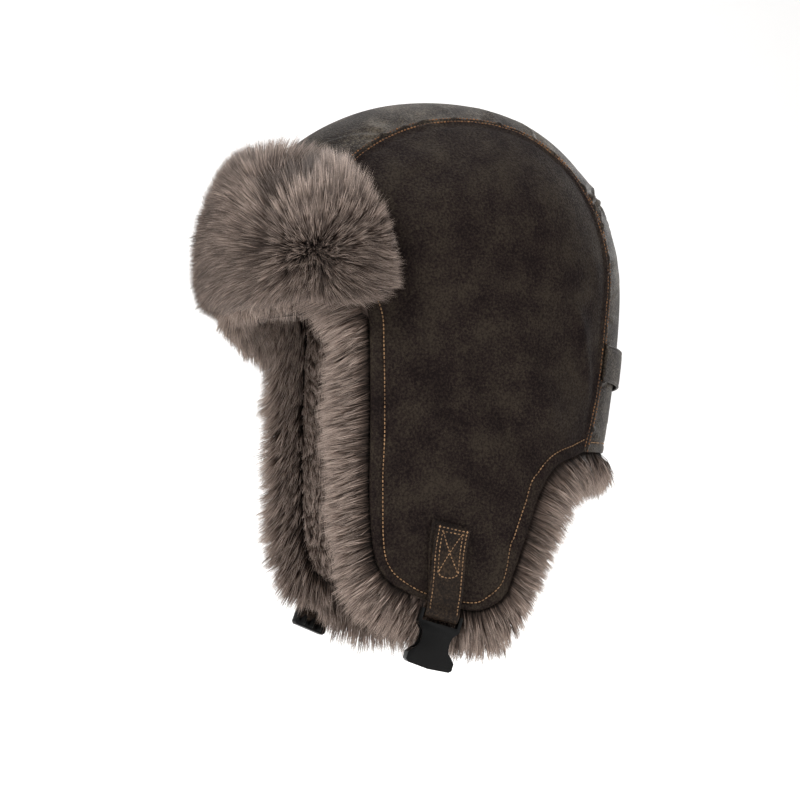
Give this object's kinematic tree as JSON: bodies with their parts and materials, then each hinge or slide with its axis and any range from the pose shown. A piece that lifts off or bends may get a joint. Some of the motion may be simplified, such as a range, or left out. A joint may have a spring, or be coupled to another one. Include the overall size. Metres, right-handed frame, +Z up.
{
  "type": "aviator hat",
  "caption": "Leather aviator hat with long ear flaps, fur lining, a fur flap folded up over the brow, and short straps with a side-release buckle; held up as it is worn.",
  "frame": {"origin": "middle of the head opening, level with the brow edge of the leather, where a head carries the hat", "axes": "+Z up, -Y forward over the wearer's brow, +X towards the wearer's left"},
  "size_m": [0.2012, 0.2702, 0.3393],
  "materials": {
    "leather": "satin, dark brown, fine grain",
    "fur": "deep soft pile, grey brown",
    "plastic": "moulded, black"
  },
  "bodies": {
    "root": {"left_side_panel": "leather", "right_side_panel": "leather", "centre_strip": "leather", "back_loop": "leather", "brim_flap": "leather", "brim_fur": "fur", "left_lining": "fur", "right_lining": "fur", "centre_lining": "fur", "left_strap": "leather", "right_strap": "leather", "buckle_socket": "plastic", "buckle_prongs": "plastic"}
  },
  "joints": []
}
